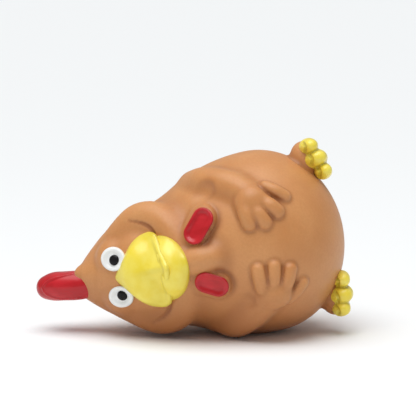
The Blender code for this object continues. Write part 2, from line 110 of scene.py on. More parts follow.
# %% Light
world = bpy.data.worlds.new("room")
bpy.context.scene.world = world
world.use_nodes = True
room_light = world.node_tree.nodes["Background"]
room_light.inputs["Color"].default_value = (1.0, 1.0, 1.0, 1.0)
room_light.inputs["Strength"].default_value = 0.36


def lamp(name, kind, energy, place, aim=(0, 0, 0.04), **settings):
    """A light that faces a point."""
    light = bpy.data.lights.new(name, kind)
    light.energy = energy
    for key, value in settings.items():
        setattr(light, key, value)
    obj = bpy.data.objects.new(name, light)
    obj.location = place
    obj.rotation_euler = (Vector(aim) - Vector(place)).to_track_quat("-Z", "Y").to_euler()
    bpy.context.scene.collection.objects.link(obj)
    return obj


lamp("ceiling", "SUN", 2.15, (-0.10, -0.10, 1.0), angle=math.radians(60))
lamp("soft_box", "AREA", 0.8, (-0.12, -0.30, 0.62), size=0.35)
print("light ready")

# %% [markdown]
# ## Working with operators
# An operator acts on whatever is selected, so each helper first clears the selection. A finished piece keeps
# its place in its mesh and its object at the origin.


# %% Helpers for operators
def select_only(*objs):
    bpy.ops.object.select_all(action="DESELECT")
    for obj in objs:
        obj.select_set(True)
    bpy.context.view_layer.objects.active = objs[-1]


def apply_all(obj):
    """Applies every modifier, then the object's place, to the mesh."""
    select_only(obj)
    for modifier in list(obj.modifiers):
        bpy.ops.object.modifier_apply(modifier=modifier.name)
    bpy.ops.object.transform_apply(location=True, rotation=True, scale=True)
    return obj


def rounded_lump(name, place, radii, turn=(0, 0, 0), segments=24, rings=14):
    """A stretched sphere. place and radii are left, up and front, in millimetres."""
    bpy.ops.object.select_all(action="DESELECT")
    bpy.ops.mesh.primitive_uv_sphere_add(
        segments=segments, ring_count=rings, location=spot(*place), rotation=turn
    )
    obj = bpy.context.object
    obj.name = name
    obj.scale = Vector((radii[0], radii[2], radii[1])) * MM
    select_only(obj)
    bpy.ops.object.transform_apply(location=True, rotation=True, scale=True)
    return obj


def joined(name, objs):
    select_only(*objs)
    bpy.ops.object.join()
    obj = bpy.context.object
    obj.name = obj.data.name = name
    return obj


def lay_down(obj):
    """Moves a finished piece from the standing bird to the lying one."""
    obj.data.transform(LAY_DOWN)
    obj.data.update()
    return obj


def shade(obj):
    select_only(obj)
    bpy.ops.object.shade_smooth()
    return obj


# %% [markdown]
# ## Clay
# Soft moulded rubber has no edges: every form melts into the next, tightly in a crease and widely on a
# belly. A sculptor would push clay about. Here the clay is a rule that gives the distance from any point to
# the surface. A lump is an egg or a tube of changing thickness, it melts into what is there over a stated
# width, and a negative lump presses a groove. A mesh of joined spheres is remeshed evenly and its points are
# then pulled onto the clay.


# %% Clay
def blend_in(base, lump, soft):
    """Union of two distances that melts over a width."""
    mix = np.clip(0.5 + 0.5 * (base - lump) / soft, 0, 1)
    return base * (1 - mix) + lump * mix - soft * mix * (1 - mix)


def meet(one, other, soft):
    """What two forms share, with a rounded edge."""
    return -blend_in(-one, -other, soft)


def smooth_path(stations, steps=5):
    """More points on a smooth line through the stations, each with all its numbers."""
    s = np.array(stations, float)
    if len(s) < 3:
        return s
    p = np.vstack([2 * s[0] - s[1], s, 2 * s[-1] - s[-2]])
    out = []
    for i in range(1, len(p) - 2):
        for t in np.linspace(0, 1, steps, endpoint=False):
            a, b, c, d = p[i - 1], p[i], p[i + 1], p[i + 2]
            out.append(
                0.5 * (
                    2 * b + (c - a) * t + (2 * a - 5 * b + 4 * c - d) * t**2 + (3 * b - a - 3 * c + d) * t**3
                )
            )
    return np.vstack([out, s[-1]])


class Clay:
    """A surface as a signed distance in millimetres, over points given as left, up and front."""

    def __init__(self):
        self.lumps = []

    def egg(self, place, radii, soft=3.0, turn=None, press=False):
        self.lumps.append(("egg", np.array(place, float), np.array(radii, float), turn, soft, press))

    def tube(self, stations, soft=3.0, press=False, steps=5):
        self.lumps.append(("tube", smooth_path(stations, steps), None, None, soft, press))

    def rule(self, function, soft=3.0, press=False):
        self.lumps.append(("rule", function, None, None, soft, press))

    def one(self, lump, p):
        """Distance to one lump. Points far from it aren't worked out, because it has no part in their surface."""
        kind, a, radii, turn, _, _ = lump
        if kind == "rule":
            return a(p)
        stations = np.atleast_2d(a)[:, :3]
        margin = 9 + (radii.max() if kind == "egg" else a[:, 3].max())
        near = ((p > stations.min(axis=0) - margin) & (p < stations.max(axis=0) + margin)).all(axis=1)
        out = np.full(len(p), 9.0)
        out[near] = self.near_one(lump, p[near])
        return out

    def near_one(self, lump, p):
        kind, a, radii, turn, _, _ = lump
        if kind == "egg":
            q = p - a
            if turn is not None:
                q = q @ turn
            k0 = np.linalg.norm(q / radii, axis=1)
            k1 = np.linalg.norm(q / radii**2, axis=1)
            return k0 * (k0 - 1) / np.maximum(k1, 1e-9)
        best = np.full(len(p), 1e9)
        for s, e in zip(a[:-1], a[1:]):
            way = e[:3] - s[:3]
            t = np.clip((p - s[:3]) @ way / max(way @ way, 1e-9), 0, 1)
            gap = np.linalg.norm(p - s[:3] - t[:, None] * way, axis=1) - (s[3] + t * (e[3] - s[3]))
            best = np.minimum(best, gap)
        return best

    def __call__(self, p):
        d = self.one(self.lumps[0], p)
        for lump in self.lumps[1:]:
            other = self.one(lump, p)
            d = -blend_in(-d, other, lump[4]) if lump[5] else blend_in(d, other, lump[4])
        return d

    def slope(self, p, here, step=0.02):
        """The direction in which the distance grows, and how fast."""
        return np.stack([(self(p + step * np.eye(3)[i]) - here) / step for i in range(3)], axis=1)


def front_of(clay, left, up, front=60.0):
    """The first point of the clay that is met from the front."""
    p = np.array([[left, up, front]], float)
    for _ in range(60):
        p[0, 2] -= 0.7 * float(clay(p)[0])
    return p[0]


def mesh_points(obj):
    """The mesh's points as left, up and front in millimetres."""
    flat = np.empty(len(obj.data.vertices) * 3)
    obj.data.vertices.foreach_get("co", flat)
    x = flat.reshape(-1, 3) / MM
    return np.stack([x[:, 0], x[:, 2], -x[:, 1]], axis=1)


def set_mesh_points(obj, p):
    x = np.stack([p[:, 0], -p[:, 2], p[:, 1]], axis=1) * MM
    obj.data.vertices.foreach_set("co", x.ravel())
    obj.data.update()


def even_out(obj, p, amount):
    """Moves each point part of the way to the middle of its neighbours."""
    edges = np.empty(len(obj.data.edges) * 2, np.int64)
    obj.data.edges.foreach_get("vertices", edges)
    edges = edges.reshape(-1, 2)
    total, count = np.zeros_like(p), np.zeros(len(p))
    for a, b in ((0, 1), (1, 0)):
        for axis in range(3):
            total[:, axis] += np.bincount(edges[:, a], p[edges[:, b], axis], len(p))
        count += np.bincount(edges[:, a], minlength=len(p))
    return p + amount * (total / count[:, None] - p)


def pull_onto(obj, clay, rounds=5, reach=1.5):
    """Pulls a mesh's points onto the clay, evening them out between pulls."""
    p = mesh_points(obj)
    for turn in range(rounds):
        if turn < rounds - 2:
            p = even_out(obj, p, 0.5)
        here = clay(p)
        slope = clay.slope(p, here)
        size = np.maximum(np.linalg.norm(slope, axis=1), 0.3)
        move = np.clip(here / size, -reach, reach)
        p -= slope / size[:, None] * move[:, None]
    set_mesh_points(obj, p)
    return clay(p)


def starter(name, clay, voxel, others=()):
    """Spheres along every lump, joined and remeshed to an even skin."""
    spheres = list(others)
    for kind, a, radii, turn, _, press in clay.lumps:
        if press or kind == "rule":
            continue
        if kind == "egg":
            ball = rounded_lump("lump", a, radii, segments=32, rings=20)
            if turn is not None:
                around = Matrix([list(row) for row in turn])
                swap = Matrix(((1, 0, 0), (0, 0, -1), (0, 1, 0)))
                full = (swap @ around @ swap.transposed()).to_4x4()
                centre = Matrix.Translation(spot(*a))
                ball.data.transform(centre @ full @ centre.inverted())
            spheres.append(ball)
        else:
            spheres += [rounded_lump("lump", s[:3], (s[3],) * 3, segments=12, rings=8) for s in a]
    obj = joined(name, spheres)
    remesh = obj.modifiers.new("even skin", "REMESH")
    remesh.mode = "VOXEL"
    remesh.voxel_size = voxel * MM
    return apply_all(obj)


def blocked(name, clay, low, high, step):
    """A start for clay that is cut by rules: the faces of all the little cubes inside it, then an even skin."""
    sides = [np.arange(a, b, step) for a, b in zip(low, high)]
    cubes = np.stack(np.meshgrid(*sides, indexing="ij"), axis=-1)
    inside = np.pad((clay(cubes.reshape(-1, 3)) < 0).reshape(cubes.shape[:3]), 1)
    core = inside[1:-1, 1:-1, 1:-1]
    corners = []
    for axis in range(3):
        for way in (1, -1):
            shown = core & ~np.roll(inside, -way, axis)[1:-1, 1:-1, 1:-1]
            u, v = np.eye(3)[(axis + 1) % 3], np.eye(3)[(axis + 2) % 3]
            middle = cubes[shown] + np.eye(3)[axis] * way * step / 2
            ring = [(1, 1), (-1, 1), (-1, -1), (1, -1)][::way]
            corners.append(np.stack([middle + (u * a + v * b) * step / 2 for a, b in ring], axis=1))
    quads = np.concatenate(corners)
    keys = np.round(quads.reshape(-1, 3) / step * 2).astype(int)
    _, first, place = np.unique(keys, axis=0, return_index=True, return_inverse=True)
    points = quads.reshape(-1, 3)[first]
    mesh = bpy.data.meshes.new(name)
    mesh.from_pydata([spot(*q) for q in points], [], place.reshape(-1, 4).tolist())
    obj = bpy.data.objects.new(name, mesh)
    bpy.context.collection.objects.link(obj)
    remesh = obj.modifiers.new("even skin", "REMESH")
    remesh.mode = "VOXEL"
    remesh.voxel_size = step * 0.9 * MM
    return apply_all(obj)


# %% [markdown]
# ## The body's clay
# The trunk is an egg. The head is a cone with a round foot, and a thick roll of cheek runs round the face
# from one brow to the other, under the beak. A tongue of skin hangs from the roll onto the breast. Each arm
# is a sleeve laid round the trunk that ends in four fat fingers, and the creases beside the beak are pressed
# in last.


# %% Trunk and head
TRUNK, WAIST = (43.3, 59.2, 38.6), -3.0


def trunk_front(left, up, lift=0.0):
    """A point on the trunk's front, lifted outwards."""
    up -= WAIST
    reach = TRUNK[1] if up > 0 else TRUNK[2]
    round_radius = TRUNK[0] * math.sqrt(max(0.0, 1 - (up / reach) ** 2))
    front = math.sqrt(max(0.0, round_radius**2 - left**2))
    out = Vector((left / TRUNK[0] ** 2, up / reach**2, front / TRUNK[0] ** 2)).normalized()
    return (left + out.x * lift, WAIST + up + out.y * lift, front + out.z * lift)


def trunk_rule(p):
    """Distance to the trunk's egg, whose two ends differ."""
    p = p - [0, WAIST, 0]
    reach = np.where(p[:, 1] > 0, TRUNK[1], TRUNK[2])
    radii = np.stack([np.full(len(p), TRUNK[0]), reach, np.full(len(p), TRUNK[0])], axis=1)
    k0 = np.linalg.norm(p / radii, axis=1)
    return k0 * (k0 - 1) / np.maximum(np.linalg.norm(p / radii**2, axis=1), 1e-9)


body = Clay()
body.rule(trunk_rule)
HEAD_AXIS = 4.0
HEAD = [
    (22, 27.0), (34, 29.0), (46, 28.8), (54, 25.8), (61, 21.6), (68, 17.0), (74, 12.8), (79, 9.2), (83, 6.4)
]
head = Clay()
head.tube([(-0.4, up, HEAD_AXIS + 0.03 * (up - 30), r) for up, r in HEAD], soft=7.0)

# %% Cheeks, chin and crown
ROLL = [
    (15.5, 66.5, 11.0, 3.6),
    (20.6, 58.5, 14.0, 6.4),
    (23.6, 50.5, 16.0, 7.8),
    (22.0, 42.5, 20.5, 8.0),
    (15.0, 36.6, 27.5, 7.2),
    (0.0, 33.6, 32.6, 6.6),
]
head.tube([(2.6, 77.0, 11.0, 6.6), (4.3, 83.4, 10.4, 3.5)], soft=3.5)
head.tube([*ROLL, *[(-x, up, front, r) for x, up, front, r in ROLL[-2::-1]]], soft=4.5)
head.tube([(0.5, 33.0, 35.5, 6.6), (0.6, 26.0, 38.4, 6.6), (0.4, 21.6, 39.2, 5.9)], soft=2.2)

# %% Arms and fingers
ARMS = {
    1: [
        (38.0, 25.0, -4.5, 5.5), (36.5, 18.0, -2.8, 7.0), (33.5, 10.5, -2.6, 7.4), (30.0, 3.5, -2.4, 7.0),
        (24.5, -2.0, -2.0, 6.4)
    ],
    -1: [
        (35.0, 27.0, -5.2, 5.5), (35.0, 18.5, -2.8, 7.6), (31.8, 10.4, -3.0, 7.8), (27.5, 3.6, -2.6, 7.2),
        (23.5, -2.0, -2.0, 6.4)
    ],
}
FINGERS = {
    1: [
        ((21.5, 1.0), (12.4, 0.5), 4.2), ((18.5, -3.0), (11.3, -6.4), 3.9),
        ((19.6, -8.0), (14.6, -12.8), 3.9), ((26.2, -10.2), (20.2, -18.0), 3.1)
    ],
    -1: [
        ((18.0, 1.4), (9.6, 1.4), 3.6), ((17.8, -4.0), (9.8, -6.0), 3.5), ((20.0, -8.6), (12.8, -12.8), 3.6),
        ((25.8, -9.2), (20.5, -17.2), 3.0)
    ],
}
PALMS = {1: (20.5, -2.5), -1: (21.8, -4.0)}
for side in (1, -1):
    arm = [(*trunk_front(side * x, up, lift), r) for x, up, lift, r in ARMS[side]]
    body.tube(arm, soft=4.0)
    body.egg(trunk_front(side * PALMS[side][0], PALMS[side][1], -0.4), (7.6, 7.8, 5.4), soft=2.0)
    for (x0, up0), (x1, up1), r in FINGERS[side]:
        root, tip = trunk_front(side * x0, up0, 0.0), trunk_front(side * x1, up1, -0.4)
        middle = trunk_front(side * (x0 + x1) / 2, (up0 + up1) / 2, 0.4)
        body.tube([(*root, r), (*middle, r), (*tip, r * 0.95)], soft=1.0, steps=4)

# %% Sockets, pads, tail and pressed lines
EYES = {1: (9.0, 66.3), -1: (-9.0, 66.7)}
for side, (left, up) in EYES.items():
    head.egg((left * 1.08, up, 18.2), (7.6, 7.8, 6.6), soft=3.0)
SMILE = [
    (24.6, 55.5, 0.1), (23.5, 52.4, 0.3), (22.2, 49.5, 0.5), (20.5, 47.1, 0.65), (18.6, 45.7, 0.75),
    (16.6, 45.0, 0.8)
]
smiles = [[(*front_of(head, side * left, up), depth) for left, up, depth in SMILE] for side in (1, -1)]
for smile in smiles:
    head.tube(smile, soft=0.9, press=True)
body.rule(head, soft=6.0)
WATTLE_ROUND = 5.0
WATTLES = {1: ((13.0, 26.5), (19.0, 21.0)), -1: ((-10.0, 26.5), (-13.0, 21.0))}


def drop(side):
    """The signed distance to a wattle's round-ended outline, drawn from its root to its tip."""
    root, tip = np.array(WATTLES[side])
    way = tip - root

    def distance(p):
        along = np.clip((p[:, :2] - root) @ way / (way @ way), 0, 1)
        return np.linalg.norm(p[:, :2] - root - along[:, None] * way, axis=1) - WATTLE_ROUND

    return distance


for side in WATTLES:
    edge = drop(side)
    body.rule(
        lambda p, edge=edge: meet(meet(trunk_rule(p) - 3.4, edge(p) - 1.2, 2.5), -p[:, 2], 1.0), soft=1.6
    )
for lean, reach in ((0.0, 15.0), (0.62, 12.5), (-0.62, 12.5)):
    way = np.array([math.sin(lean), 0.78 * math.cos(lean), -0.62])
    way /= np.linalg.norm(way)
    root = np.array([5.0 * math.sin(lean), -7.0, -38.0])
    feather = [
        (*(root + way * reach * part), r) for part, r in ((0.0, 5.0), (0.5, 4.6), (0.85, 3.7), (1.0, 2.6))
    ]
    body.tube(feather, soft=1.2)
PLUG_FACE, PLUG_WAY = np.array((-6.0, -33.81, -23.67)), np.array(
    [0.0, -math.cos(math.radians(35)), -math.sin(math.radians(35))]
)
PLUG_RISE = 1.4


def plug_frame(p):
    """Distance from the plug's axis, and height above its seat."""
    q = p - PLUG_FACE
    height = q @ PLUG_WAY
    return np.linalg.norm(q - height[:, None] * PLUG_WAY, axis=1), height + PLUG_RISE


def plug_boss(p):
    away, height = plug_frame(p)
    return meet(away - 13.0, np.maximum(height - 0.9, -6 - height), 2.0)


def plug_seat(p):
    away, height = plug_frame(p)
    return -np.minimum(np.maximum(away - 9.5, -height), np.maximum(away - 7.2, -14 - height))


body.rule(plug_boss, soft=3.0)
body.rule(lambda p: -plug_seat(p), soft=0.6, press=True)
body.egg((31.5, 20.5, 30.5), (3.6, 5.8, 3.4), soft=4.0, press=True)
body.egg((-23.6, 16.0, 38.5), (2.2, 7.5, 1.8), soft=4.0, press=True)

# %% The evened skin
trunk_ball = rounded_lump("trunk", (0, 0, 0), (1, 1, 1), segments=64, rings=40)
for point in trunk_ball.data.vertices:
    reach = TRUNK[1] if point.co.z > 0 else TRUNK[2]
    point.co = (point.co.x * TRUNK[0], point.co.y * TRUNK[0], point.co.z * reach + WAIST * MM)
whole = Clay()
whole.lumps = [*body.lumps, *head.lumps]
skin = starter("skin", whole, 0.9, [trunk_ball])
print("starter", len(skin.data.vertices), "points")
left_over = pull_onto(skin, body, 7)
print("furthest from the clay", round(float(abs(left_over).max()), 3), "mm")

# %% [markdown]
# ## Latex and paint
# The tan rubber is matte, a little waxy, and never one colour: its tone wanders at random, and it is browner in
# the creases, partly where the pigment pooled and partly as painted shade, and browner towards the ground as
# painted shade. The paints are glossier and show the brush. Shader maths is written as ordinary expressions on
# values.


# %% Values that do shader maths
class Value:
    """A socket whose arithmetic adds Math nodes."""

    def __init__(self, finish, socket):
        self.finish, self.socket = finish, socket

    def math(self, operation, *others, first=True):
        values = (self, *others) if first else (*others, self)
        return self.finish.node("ShaderNodeMath", {"operation": operation}, dict(enumerate(values)))

    def __add__(self, other):
        return self.math("ADD", other)

    def __sub__(self, other):
        return self.math("SUBTRACT", other)

    def __mul__(self, other):
        return self.math("MULTIPLY", other)

    def __rsub__(self, other):
        return self.math("SUBTRACT", other, first=False)

    __radd__, __rmul__ = __add__, __mul__

    def ramp(self, low, high):
        """0 below low, 1 above high, and smooth between."""
        sockets = {"Value": self, "From Min": low, "From Max": high}
        return self.finish.node("ShaderNodeMapRange", {"interpolation_type": "SMOOTHSTEP"}, sockets)


class Finish:
    """A Principled material under construction."""

    def __init__(self, name, **fixed):
        self.material = bpy.data.materials.new(name)
        self.material.use_nodes = True
        self.tree = self.material.node_tree
        self.shader = self.tree.nodes["Principled BSDF"]
        for socket, value in fixed.items():
            self.shader.inputs[socket.replace("_", " ")].default_value = value

    def node(self, kind, settings, sockets, out=0):
        """Adds a node: settings first, then the values or links of its sockets."""
        made = self.tree.nodes.new(kind)
        for key, value in settings.items():
            setattr(made, key, value)
        for key, value in sockets.items():
            self.connect(made.inputs[key], value)
        return Value(self, made.outputs[out])

    def connect(self, socket, value):
        if isinstance(value, Value):
            self.tree.links.new(value.socket, socket)
        else:
            socket.default_value = value

    def place(self, scale=(1, 1, 1)):
        """Object coordinates, stretched."""
        where = self.node("ShaderNodeTexCoord", {}, {}, out="Object")
        return self.node("ShaderNodeMapping", {}, {"Vector": where, "Scale": scale})

    def noise(self, scale, detail=2.0, stretch=(1, 1, 1)):
        return self.node(
            "ShaderNodeTexNoise", {}, {"Vector": self.place(stretch), "Scale": scale, "Detail": detail}
        )

    def height(self):
        """How far the surface is above the ground, from Object coordinates."""
        return self.node("ShaderNodeSeparateXYZ", {}, {"Vector": self.place()}, out="Z")

    def mask(self, name):
        """A number that is stored on the mesh's points."""
        return self.node("ShaderNodeAttribute", {"attribute_name": name}, {}, out="Fac")

    def mix(self, one, other, amount):
        made = self.tree.nodes.new("ShaderNodeMix")
        made.data_type = "RGBA"
        for socket, value in ((made.inputs[6], one), (made.inputs[7], other), (made.inputs[0], amount)):
            self.connect(socket, value)
        return Value(self, made.outputs[2])

    def bump(self, height, strength, depth):
        sockets = {"Height": height, "Strength": strength, "Distance": depth * MM}
        self.surface(Normal=self.node("ShaderNodeBump", {}, sockets))

    def surface(self, **values):
        for key, value in values.items():
            self.connect(self.shader.inputs[key.replace("_", " ")], value)
        return self.material


def rgb(red, green, blue):
    return (red, green, blue, 1.0)


def wear(obj, material):
    obj.data.materials.clear()
    obj.data.materials.append(material)
    return obj


# %% Tan latex
latex = Finish(
    "tan_latex", IOR=1.45, Subsurface_Weight=0.12, Subsurface_Scale=0.004, Coat_Weight=0.06,
    Coat_Roughness=0.35, Sheen_Weight=0.06, Sheen_Roughness=0.4
)
latex.shader.inputs["Subsurface Radius"].default_value = (1.0, 0.45, 0.2)
cloud = latex.noise(38, 3.0).ramp(0.3, 0.72)
grain = latex.noise(900, 3.0).ramp(0.3, 0.7)
# Darker in the creases: partly pigment that pooled there, partly painted shade where the creases fall into
# shadow.
crease_pigment_and_shade = latex.mask("crease_pigment_and_shade")
tan = latex.mix(rgb(0.585, 0.250, 0.082), rgb(0.655, 0.305, 0.112), cloud)
tan = latex.mix(tan, rgb(0.50, 0.200, 0.062), grain * 0.2)
tan = latex.mix(tan, rgb(0.27, 0.080, 0.020), crease_pigment_and_shade * 0.75)
# Painted shade: the tan darkens towards the ground, standing in for the shaded underside.
underside_shade = 1 - latex.height().ramp(-0.002, 0.036)
tan = latex.mix(tan, rgb(0.36, 0.115, 0.028), underside_shade * 0.75)
latex.surface(Base_Color=tan, Roughness=0.42 + cloud * 0.06 + grain * 0.05)
latex.bump(latex.noise(1400, 2.0) + latex.noise(160, 2.0) * 1.6, 0.25, 0.12)


def paint(name, light, deep, rough, strokes=(1, 1, 1), coat=0.3, gloss=0.5):
    """A brushed coat of latex paint: streaks in colour and gloss, creases darker from pooled paint and painted
    shade, and a faint orange-peel bump.
    """
    made = Finish(name, IOR=1.48, Coat_Weight=coat, Coat_Roughness=0.18, Specular_IOR_Level=gloss)
    streak = made.noise(260, 3.0, strokes).ramp(0.3, 0.7)
    pool = made.noise(70, 2.0).ramp(0.35, 0.7)
    colour = made.mix(rgb(*deep), rgb(*light), streak * 0.5 + pool * 0.5)
    # Darker in the creases: partly pooled paint, partly painted shade.
    made.surface(Base_Color=made.mix(colour, rgb(*(0.55 * x for x in deep)), made.mask("crease_pigment_and_shade") * 0.6))
    made.surface(Roughness=rough + streak * 0.08 + pool * 0.05)
    made.bump(made.noise(420, 2.0, strokes) + made.noise(90, 1.0), 0.2, 0.10)
    return made.material


yellow = paint("yellow_paint", (0.94, 0.80, 0.13), (0.88, 0.69, 0.040), 0.30, (1, 0.35, 1))
red = paint("red_paint", (0.60, 0.010, 0.020), (0.42, 0.003, 0.006), 0.30, (0.25, 1, 1), gloss=0.35)
white = paint("white_paint", (0.94, 0.95, 0.94), (0.87, 0.88, 0.87), 0.30)
black = paint("black_paint", (0.010, 0.009, 0.010), (0.004, 0.004, 0.005), 0.22, coat=0.0, gloss=0.2)
print("finishes", [m.name for m in (latex.material, yellow, red, white, black)])


# %% [markdown]
# Creases are found from the clay itself: a step out from the surface that doesn't gain its full length in
# distance has run into another form. The number is stored on the points, and the materials darken their colour
# by it, partly as pooled pigment and partly as painted shade.


# %% Crease mask, for pooled pigment and painted shade
def mark_creases(obj, clay, reach=2.4):
    """Stores how far each point lies in a crease, from 0 to 1."""
    p = mesh_points(obj)
    here = clay(p)
    slope = clay.slope(p, here)
    out = slope / np.maximum(np.linalg.norm(slope, axis=1), 1e-6)[:, None]
    total = np.zeros(len(p))
    for step in (0.5 * reach, reach):
        total += np.clip(1 - (clay(p + out * step) - here) / step, 0, 1) / 2
    values = np.clip(total * 2.2, 0, 1)
    mask = obj.data.attributes.new("crease_pigment_and_shade", "FLOAT", "POINT")
    mask.data.foreach_set("value", values.astype(np.float32))
    return values


print("creased share", round(float((mark_creases(skin, body) > 0.3).mean()), 3))
wear(skin, latex.material)
lay_down(skin)
shade(skin)
in_row(0, -14.5, 27.4)
in_row(0, -20.2, 38.0)
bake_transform(skin)
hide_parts("body_skin", "belly_panel", "left_wing", "right_wing", "chin_lobe", "tail")


# %% [markdown]
# ## The painted features
# Each is clay of its own, remeshed finely, so that the beak's facets and lips stay crisp while its corners
# are round.


def finish_piece(obj, clay, material, nodes, rides, rounds):
    pull_onto(obj, clay, rounds, reach=1.0)
    mark_creases(obj, clay, 1.2)
    wear(obj, material)
    lay_down(obj)
    shade(obj)
    if rides:
        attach(obj, rides)
    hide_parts(*nodes)
    print(obj.name, len(obj.data.polygons), "faces")
    return obj


def clay_piece(name, clay, voxel, material, nodes, rides=None, others=(), rounds=6):
    return finish_piece(starter(name, clay, voxel, others), clay, material, nodes, rides, rounds)


def painted_patch(name, rule, box, step, material, nodes):
    """A raised painted part of the face, cut by rules within a box of left, up and front."""
    clay = Clay()
    clay.rule(rule)
    return finish_piece(blocked(name, clay, *box, step), clay, material, nodes, "body", 5)


# %% [markdown]
# ## The beak
# The real beak is part of the moulding, painted glossy yellow. It could be a scaled cone, but it has two
# flat facets that meet in a ridge, a hooked tip and a rolled lip. So its outline is worked out from sizes: a
# shield of straight sides with round corners above, and half an ellipse below. The clay rules then raise it
# from the face.

# %% Beak
BILL_TOP, BILL_FOOT, BILL_HALF_WIDTH = 68.5, 41.0, 18.0
SIDE_FALL, FOOT_RISE = 0.80, 0.17
LOWER_TOP, LOWER_DEEP, LOWER_HALF_WIDTH = 44.0, 12.0, 15.5
TIP, HOOK = (0.2, 68.6, 26.6), (0.8, 42.0, 47.2)


def facet(a, b, c):
    """The distance in front of the plane through three points."""
    a, b, c = (np.array(x, float) for x in (a, b, c))
    normal = np.cross(b - a, c - a)
    normal *= np.sign(normal[2]) / np.linalg.norm(normal)
    return lambda p: (p - a) @ normal


def upper_edge(p):
    """A shield: two straight sides fall from the top to round shoulders, over a shallow pointed foot."""
    across = np.hypot(p[:, 0], 1.5)
    side = (p[:, 1] - BILL_TOP + SIDE_FALL * across) / math.hypot(1, SIDE_FALL)
    foot = BILL_FOOT + FOOT_RISE * across - p[:, 1]
    return meet(meet(side, across - BILL_HALF_WIDTH, 6.0), foot, 4.0)


def lower_edge(p):
    """Half an ellipse that hangs under the upper bill."""
    away = np.hypot(p[:, 0] / LOWER_HALF_WIDTH, (p[:, 1] - LOWER_TOP) / LOWER_DEEP)
    return meet((away - 1) * LOWER_DEEP, p[:, 1] - LOWER_TOP - 2.0, 1.0)


left_facet, right_facet = [facet(TIP, HOOK, (side * BILL_HALF_WIDTH, 50.0, 28.3)) for side in (1, -1)]
swell, lip = Clay(), Clay()
swell.egg((-0.3, 52.5, 29.6), (14.6, 12.0, 8.0))
lip.tube(
    [
        (15.6, 45.2, 31.4, 0.5), (11.5, 44.6, 36.8, 0.8), (6.0, 43.4, 42.3, 0.9), (0.8, 42.2, 46.4, 1.3),
        (-4.6, 43.3, 42.3, 0.9), (-11.0, 44.2, 36.8, 0.8), (-15.8, 44.6, 31.6, 0.5)
    ]
)


def upper_beak(p):
    """A skin-deep patch that rises in two facets to a hooked tip, with a rolled lip."""
    form = meet(left_facet(p), right_facet(p), 2.0)
    form = blend_in(blend_in(form, swell(p), 3.0), head(p) - 1.0, 2.5)
    form = blend_in(meet(form, upper_edge(p), 1.5), lip(p), 1.3)
    return meet(form, -head(p) - 2.0, 0.5)


bowl = Clay()
bowl.egg((-0.3, 40.0, 30.5), (14.6, 11.0, 14.6))


def lower_beak(p):
    """A rounded bowl under the upper beak."""
    form = blend_in(bowl(p), head(p) - 1.0, 2.0)
    form = meet(meet(form, lower_edge(p), 1.5), -0.25 - upper_beak(p), 0.3)
    return meet(form, -head(p) - 2.0, 0.5)


painted_patch("upper_beak_paint", upper_beak, ((-20, 39, 14), (20, 71, 50)), 0.6, yellow, ["upper_beak"])
painted_patch("lower_beak_paint", lower_beak, ((-18, 29, 20), (18, 47, 50)), 0.6, yellow, ["lower_beak"])


# %% [markdown]
# ## The eyes
# Each eye is a shallow white dish with a raised rim, painted over a moulded socket, and the pupil is a
# raised black dot. A flat disc would leave the face, so the dish follows the clay of the head, and the pupil
# sits on its slope.

# %% Eyes
EYE_ROUND = {1: (0.13, 5.6, 5.9), -1: (0.29, 5.1, 5.9)}


def eye_rule(side):
    """A shallow dish with a raised rim that follows the socket."""
    (left, up), (lean, wide, tall) = EYES[side], EYE_ROUND[side]

    def rule(p):
        x, y = p[:, 0] - left, p[:, 1] - up
        across, along = x * math.cos(lean) - y * math.sin(lean), x * math.sin(lean) + y * math.cos(lean)
        away = np.hypot(across / wide, along / tall)
        rim = np.clip((away - 0.45) / 0.4, 0, 1)
        form = meet(head(p) - 0.8 - 0.8 * rim * rim * (3 - 2 * rim), (away - 1) * wide, 0.9)
        return meet(meet(form, -head(p) - 1.5, 0.5), 8 - p[:, 2], 0.5)

    return rule


PUPILS = {1: (8.3, 65.6), -1: (-8.2, 65.6)}
for side, word in ((1, "left"), (-1, "right")):
    (left, up), edge = EYES[side], 7.5
    painted_patch(
        word + "_eye_paint", eye_rule(side), ((left - edge, up - edge, 10), (left + edge, up + edge, 34)),
        0.4, white, [word + "_eye"]
    )
    place = front_of(head, *PUPILS[side])
    out = head.slope(place[None], head(place[None]))[0]
    out /= np.linalg.norm(out)
    across = np.cross([0, 1, 0], out)
    across /= np.linalg.norm(across)
    pupil = Clay()
    pupil.egg(place + out * 1.0, (2.5, 2.5, 1.0), turn=np.stack([across, np.cross(out, across), out], axis=1))
    clay_piece(word + "_pupil_paint", pupil, 0.3, black, [word + "_pupil"], "body")

# %% [markdown]
# ## The wattles
# A wattle is a soft red drop that lies flat on the breast with a dished middle and a thick rim. It takes the
# round outline that its pad in the skin has too, so the paint and the rubber under it always agree.

# %% Wattles
for side, word in ((1, "left"), (-1, "right")):
    edge = drop(side)

    def wattle(p, edge=edge):
        inset = edge(p)
        dish = np.clip((-inset - 0.6) / 2.6, 0, 1)
        form = meet(trunk_rule(p) - 5.2 + 1.1 * dish * dish * (3 - 2 * dish), inset + 0.1, 0.9)
        return meet(form, 1.5 - trunk_rule(p), 0.5)

    near, margin = np.array(WATTLES[side]), WATTLE_ROUND + 1.5
    low, high = near.min(axis=0) - margin, near.max(axis=0) + margin
    painted_patch(word + "_wattle_paint", wattle, ((*low, 28), (*high, 50)), 0.4, red, [word + "_wattle"])
